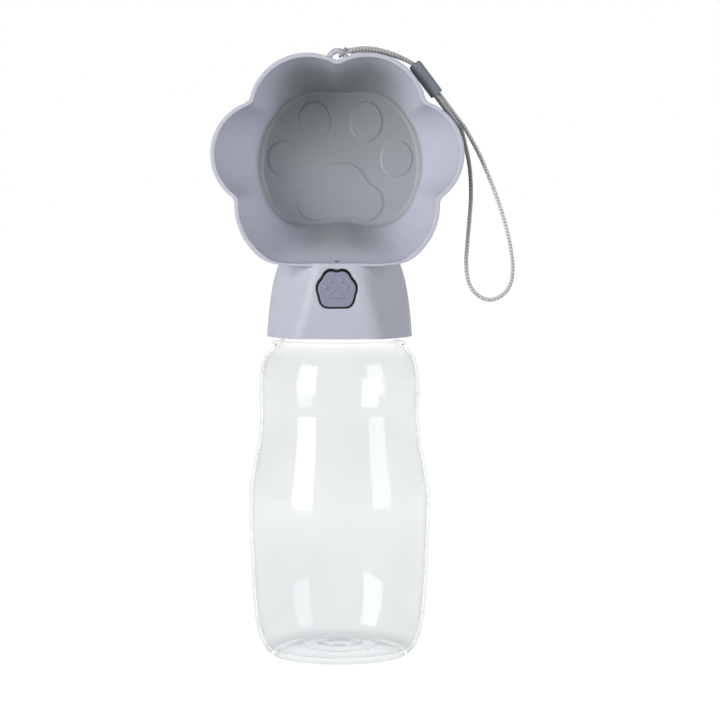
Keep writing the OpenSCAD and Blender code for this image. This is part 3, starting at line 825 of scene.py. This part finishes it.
def panel_front(x, z, collar_r):
    """How far in front of the axis the panel stands at x, as it sweeps back onto the collar."""
    face = PANEL_Y - 3.2 * np.maximum(0, 1 - (z - COLLAR_LOW) / 24) ** 2
    half_w = 7 + 0.2 * (170 - z)
    side = eased((np.abs(x) - half_w) / PANEL_SWEEP)
    round_y = np.sqrt(np.maximum(collar_r**2 - x**2, 0))
    return soft_max(face * (1 - side) + round_y * side, round_y, 1.5)


def bisected(inside_test, low, high, rounds=30):
    """Finds, for each ray, the distance at which the test stops being true."""
    low, high = low.copy(), high.copy()
    for _ in range(rounds):
        middle = (low + high) / 2
        still = inside_test(middle)
        low = np.where(still, middle, low)
        high = np.where(still, high, middle)
    return (low + high) / 2


collar_turn = around(320)
levels = np.concatenate([
    np.linspace(140.5, 172, 40), np.linspace(173, 209, 25),
    [209.8, 210.6, 211.3, 211.9, 212.3, 212.6, 212.7]])
turn_grid, z_grid = np.meshgrid(collar_turn, levels)
round_r = collar_radius(z_grid)
facing = -np.sin(turn_grid)
panel_r = bisected(
    lambda r: r * facing < panel_front(r * np.cos(turn_grid), z_grid, round_r), 0 * z_grid + 10,
    0 * z_grid + 46)
in_front = (facing > 0.15) & (np.abs(round_r * np.cos(turn_grid)) < round_r - 0.5)
in_front &= z_grid < PANEL_TOP
collar_r = np.where(in_front, np.maximum(round_r, panel_r), round_r)

outer_steps = refined(outside_path, 2.0)
outer_steps = outer_steps[np.concatenate([[True], np.diff(outer_steps[:, 2]) > 1e-6])]


def outside_trough(x, y, z):
    """Distance from the trough's outer skin, roughly: below zero inside it."""
    back = y - lip_plane(z)
    angle = np.arctan2(z - TROUGH_Z, x) % (2 * math.pi)
    rim = np.interp(angle, head_turn, rim_r, period=2 * math.pi)
    bottom = np.interp(angle, head_turn, floor_r, period=2 * math.pi)
    mix = np.interp(back, outer_steps[:, 2], outer_steps[:, 0])
    grow = np.interp(back, outer_steps[:, 2], outer_steps[:, 1])
    sideways = np.hypot(x, z - TROUGH_Z) - (rim * (1 - mix) + bottom * mix + grow)
    behind = back - TROUGH_DEPTH - FLOOR_WALL
    before = -back
    return np.maximum(np.maximum(sideways * 0.88, behind), before)


def within_flare(r):
    """The collar flares where it meets the trough, but not in front, where the panel meets it."""
    x, y = r * np.cos(turn_grid), r * np.sin(turn_grid)
    width = np.where(y < 0, 0.8 + 5.2 * eased((np.abs(x) - 9) / 7), 6)
    return soft_min(r - collar_r, outside_trough(x, y, z_grid), width) < 0


flared_r = bisected(within_flare, collar_r - 0.3, collar_r + 9)
outer_rings = np.stack([flared_r * np.cos(turn_grid), flared_r * np.sin(turn_grid), z_grid], -1)

hollow = rounded(
    [(31.2, 140), (29.0, 140), (28.5, 140.5), (28.5, 154.65), (27.6, 154.65), (27.4, 161), (25.8, 166),
     (24.6, 170.4), (23.6, 174), (21.4, 179), (18.2, 185), (14.8, HOLLOW_TOP), (1, HOLLOW_TOP)],
    [0.2, 0.3, 0.4, 0.3, 1, 2, 2, 2, 2, 2, 2], 4)
edge = rounded([(COLLAR_R, 140.5), (COLLAR_R, COLLAR_LOW), (31.2, COLLAR_LOW)], [0.5], 5)[1:-1]

# The low edge follows the panel, and the hollow inside is round
panel_out = flared_r[0] - COLLAR_R
inner_rings = []
for r, z in np.vstack([edge, hollow]):
    r = r + (panel_out if r > 31 else 0)
    inner_rings.append(np.stack([
        r * np.cos(collar_turn), r * np.sin(collar_turn), z + 0 * collar_turn], -1))
collar = lofted(
    "collar", np.vstack([outer_rings[::-1], inner_rings]), (0, 0, COLLAR_TOP), (0, 0, HOLLOW_TOP))

# Eyelet: a ring that stands half out of the notch at the top of the trough
eye_turn = around(72)[:, None]
tube_turn = around(28)[None, :]
eye_r = EYELET_R + EYELET_WIRE * np.cos(tube_turn)
eye_y = EYELET_WIRE * np.sin(tube_turn) + 0 * eye_turn
eye_rings = EYELET_MID + np.stack([eye_r * np.cos(eye_turn), eye_y, eye_r * np.sin(eye_turn)], -1)
combine(collar, lofted("eyelet", eye_rings), "UNION")
combine(collar, core, "DIFFERENCE")
combine(head, collar, "UNION")

# The button's hole, with a rounded edge, the bore behind it and the outlet duct
BUTTON_Z = 161.6
HOLE_LOBES = [(2.4, 4.6, 3.9), (3.45, 0.2, 5.5), (2.9, -3.9, 4.9), (0, -3.9, 4.9)]
HOLE_LOW = 8.45
HOLE_ROUND = 0.5
SEAL_BACK = -28.6
FRONT_OF_ALL = -40
hole_turn = around(240)
hole_r = lobed_outline(HOLE_LOBES, HOLE_LOW, hole_turn, 1.6, 1.0)


def hole_ring(grow, y=None, depth=0.0):
    """The hole's outline at one y, or at a depth behind the panel's curved face."""
    r = hole_r + grow
    x, z = r * np.cos(hole_turn), BUTTON_Z + r * np.sin(hole_turn)
    if y is None:
        y = -panel_front(x, z, collar_radius(z)) + depth
    return np.stack([x, y + 0 * x, z], -1)


hole_path = [hole_ring(HOLE_ROUND + 0.3, FRONT_OF_ALL), hole_ring(HOLE_ROUND + 0.3, depth=-0.4)]
for k in range(9):
    t = k / 8 * math.pi / 2
    hole_path.append(hole_ring(HOLE_ROUND * (1 - math.sin(t)), depth=HOLE_ROUND * (1 - math.cos(t))))
hole_path.append(hole_ring(0, SEAL_BACK))
hole = lofted("hole", hole_path, (0, FRONT_OF_ALL, BUTTON_Z), (0, SEAL_BACK, BUTTON_Z))
combine(head, hole, "DIFFERENCE")


def rod(name, radius, start, way, length, flat=1):
    """A round or flattened rod in the Y-Z plane, from start along way, to add or to cut with."""
    way = unit(np.array(way, float))
    side = np.array((1.0, 0, 0))
    up = np.cross(way, side)
    turn = around(64)[:, None]
    ring = radius * (np.cos(turn) * side + flat * np.sin(turn) * up)
    ends = [np.array(start, float), np.array(start, float) + length * way]
    return lofted(name, [e + ring for e in ends], *ends)


DUCT_START = np.array((0, -30.4, 172.9))
DUCT_DOWN = math.radians(30)
DUCT_WAY = np.array((0, math.cos(DUCT_DOWN), -math.sin(DUCT_DOWN)))
combine(head, rod("duct_stub", 2.2, DUCT_START + 2.5 * DUCT_WAY, DUCT_WAY, 4.9), "UNION")
combine(head, rod("boss_bore", 3.2, (0, -30, BUTTON_Z), BACKWARDS, 10), "DIFFERENCE")
combine(head, rod("nose_bore", 4.3, (0, -26.8, BUTTON_Z), BACKWARDS, 7), "DIFFERENCE")
combine(head, rod("duct_mouth", 1.3, DUCT_START - 3 * DUCT_WAY, DUCT_WAY, 8, 0.42), "DIFFERENCE")
combine(head, rod("duct_bore", 1.2, DUCT_START + 3 * DUCT_WAY, DUCT_WAY, 6), "DIFFERENCE")
head.data.set_sharp_from_angle(angle=math.radians(38))

# How much shade is painted onto each point of the trough: on its floor, and at the top and
# the bottom of its wall
head_points = np.empty(len(head.data.vertices) * 3, np.float32)
head.data.vertices.foreach_get("co", head_points)
x, y, z = head_points.reshape(-1, 3).T.astype(float) / MM
back = y - lip_plane(z)
angle = np.arctan2(z - TROUGH_Z, x) % (2 * math.pi)
wall_line = inside_path[::-1]
mix = np.interp(back, wall_line[:, 2], wall_line[:, 0])
skin_r = np.interp(angle, head_turn, rim_r, period=2 * math.pi) * (1 - mix)
skin_r += np.interp(angle, head_turn, floor_r, period=2 * math.pi) * mix
skin_r += np.interp(back, wall_line[:, 2], wall_line[:, 1])
within = (np.hypot(x, z - TROUGH_Z) < skin_r + 0.6) & (back < TROUGH_DEPTH + 0.5)
depth = back / TROUGH_DEPTH
top = eased((z - 218) / 34) * eased((40 - np.abs(x)) / 26) * eased((depth + 0.1) / 0.6)
bottom = 0.8 * eased((200 - z) / 12) * eased((24 - np.abs(x)) / 16) * eased((depth - 0.1) / 0.5)
floor_part = eased((depth - 0.86) / 0.08) * (0.7 + 0.3 * eased((z - 200) / 40))
keep_value(head, "trough_shade_painted", within * np.maximum(floor_part, np.maximum(top, bottom)))

head_plastic, tree, surface = moulded(
    "head_plastic", srgb(199, 201, 214), 0.42, 0.56, grain=2600, grain_depth=0.00001, mottle=0.012)
# Painted shade: the base colour is darkened and greyed where the trough's shade falls
trough_shade_painted = add(tree, "Attribute", {"attribute_name": "trough_shade_painted"}).outputs["Fac"]
painted_shade_tint = ramp(tree, trough_shade_painted, (0, WHITE), (1, (0.56, 0.59, 0.52, 1)))
cloudy = surface.inputs["Base Color"].links[0].from_socket
tree.links.new(darkened(tree, cloudy, painted_shade_tint), surface.inputs["Base Color"])
dress(head, head_plastic)
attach(head, "head")
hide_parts("trough_head")


# The button: a paw-shaped cap of the same plastic in a greyer shade, with an eased edge and a
# small raised paw. Its boss is pressed onto the valve's stem.
BUTTON_GAP = 0.95
BUTTON_DROP = 0.25
CAP_FACE = -34.9
CAP_BACK = -32.3
BOSS_BACK = -29.9
BOSS_R = 2.6
CAP_Z = BUTTON_Z - BUTTON_DROP
PRINT_UP = 0.45
FACE_RINGS = 71
button_turn = around(288)
button_r = lobed_outline(HOLE_LOBES, HOLE_LOW, button_turn, 1.6, 1.0) - BUTTON_GAP


def button_print(x, z):
    """Height, from 0 to 1, of the small paw: four toes as low domes and the pad as a ridge."""
    raised = 0
    for toe_x, toe_z, half_w, half_h, tilt in ((2.3, 3.7, 1.0, 1.25, 4), (4.4, 0.75, 1.0, 1.15, 20)):
        dx, dz = np.abs(x) - toe_x, z - toe_z
        c, s = math.cos(math.radians(tilt)), math.sin(math.radians(tilt))
        far = np.hypot((dx * c - dz * s) / half_w, (dx * s + dz * c) / half_h)
        raised = raised + eased((1.15 - far) / 0.75)
    top = np.hypot(x, z + 1.4) - 1.5
    corners = np.hypot(np.abs(x) - 2.25, z + 2.75) - 1.05
    middle = np.hypot(x, z + 2.4) - 1.4
    pad = soft_min(soft_min(top, corners, 1.2), middle, 1.0)
    return raised + 0.8 * np.exp(-((pad / 0.24) ** 2))


cap_path = rounded([(-1.6, 0), (0, 0), (0, CAP_BACK - CAP_FACE)], [0.6], 8)
cap_path = np.vstack([cap_path[:-1], rounded(
    [(0, 1.4), (0, CAP_BACK - CAP_FACE), (-1.2, CAP_BACK - CAP_FACE)], [0.3], 4)[1:]])
cap_rings = []
for grow, back in cap_path:
    r = button_r + grow
    cap_rings.append(np.stack([
        r * np.cos(button_turn), CAP_FACE + back + 0 * r, CAP_Z + r * np.sin(button_turn)], -1))
cap_mid = np.array((0, CAP_FACE, CAP_Z))
face_share = np.linspace(0.01, 1, FACE_RINGS)[:-1]
face_rings = cap_mid + face_share[:, None, None] * (cap_rings[0][None] - cap_mid)
face_rings[..., 1] -= PRINT_UP * button_print(face_rings[..., 0], face_rings[..., 2] - CAP_Z)
button = lofted("button_cap", np.vstack([face_rings, cap_rings]), cap_mid, (0, CAP_BACK, CAP_Z))
boss = rod("boss", BOSS_R, (0, CAP_BACK - 0.5, BUTTON_Z), BACKWARDS, BOSS_BACK - CAP_BACK + 0.5)
combine(button, boss, "UNION")
combine(button, rod("stem_hole", 1.1, (0, -33.4, BUTTON_Z), BACKWARDS, 5), "DIFFERENCE")
button.data.set_sharp_from_angle(angle=math.radians(40))
button_plastic = moulded(
    "button_plastic", srgb(141, 145, 165), 0.4, 0.52, grain=3200, grain_depth=0.000008, mottle=0.012)[0]
dress(button, button_plastic)
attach(button, "button")
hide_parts("button")


# The seals, the inner cap and the valve: black and clear silicone rings, washer and sleeve, white
# moulded plastic, and a turned steel stem and screws. They keep the shapes that the CAD gives
# them, and take their finish here.
black_silicone = moulded("black_silicone", srgb(24, 24, 26), 0.45, 0.6)[0]
clear_silicone, tree, surface = moulded("clear_silicone", srgb(226, 229, 230), 0.35, 0.5)
surface.inputs["Subsurface Weight"].default_value = 0.3
surface.inputs["Subsurface Radius"].default_value = (0.002, 0.002, 0.002)
white_plastic = moulded("white_plastic", srgb(232, 232, 228), 0.35, 0.5)[0]
for name in ("button_seal", "plug_oring", "stem_oring"):
    dress(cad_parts[name], black_silicone)
for name in ("neck_gasket", "inlet_oring", "poppet_seal", "outlet_sleeve"):
    dress(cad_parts[name], clear_silicone)
for name in ("inner_cap", "valve_body", "rear_plug", "front_bush"):
    dress(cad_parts[name], white_plastic)

turned_steel, tree, surface = new_material("turned_steel")
surface.inputs["Metallic"].default_value = 1.0
tool_marks = noise(tree, 6000, 2)
tree.links.new(
    ramp(tree, tool_marks, (0.3, srgb(186, 188, 191)), (0.7, srgb(204, 205, 207))),
    surface.inputs["Base Color"])
tree.links.new(graded(tree, tool_marks, 0.18, 0.32), surface.inputs["Roughness"])
tree.links.new(bump(tree, tool_marks, 0.000004), surface.inputs["Normal"])
for name in ("valve_screws", "valve_stem"):
    dress(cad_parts[name], turned_steel)


# The return spring: seven turns of stainless wire between the stem's flange and the rear plug.
# Its rear end stands still, and it rides with the head at its rest length.
SPRING_TURNS = 7
SPRING_R = 2.25
SPRING_WIRE = 0.3
WIRE_SIDES = 10
STEPS_A_COIL = 32
SPRING_FRONT = -2.55
SPRING_REAR = 7.65
coil_turn = np.linspace(0, SPRING_TURNS * 2 * math.pi, SPRING_TURNS * STEPS_A_COIL + 1)[:, None]
outward = np.cos(coil_turn) * np.array((1, 0, 0)) - np.sin(coil_turn) * np.array((0, 0, 1))
coil = np.array((0, 0, BUTTON_Z)) + SPRING_R * outward
coil[:, 1] = np.linspace(SPRING_FRONT, SPRING_REAR, len(coil))
wire_turn = around(WIRE_SIDES)[None, :, None]
coil_rings = coil[:, None, :] + SPRING_WIRE * (
    np.cos(wire_turn) * outward[:, None, :] + np.sin(wire_turn) * BACKWARDS)
spring = lofted("coil_spring", coil_rings, coil[0], coil[-1])
dress(spring, turned_steel)
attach(spring, "head")
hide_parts("return_spring")
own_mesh(spring)
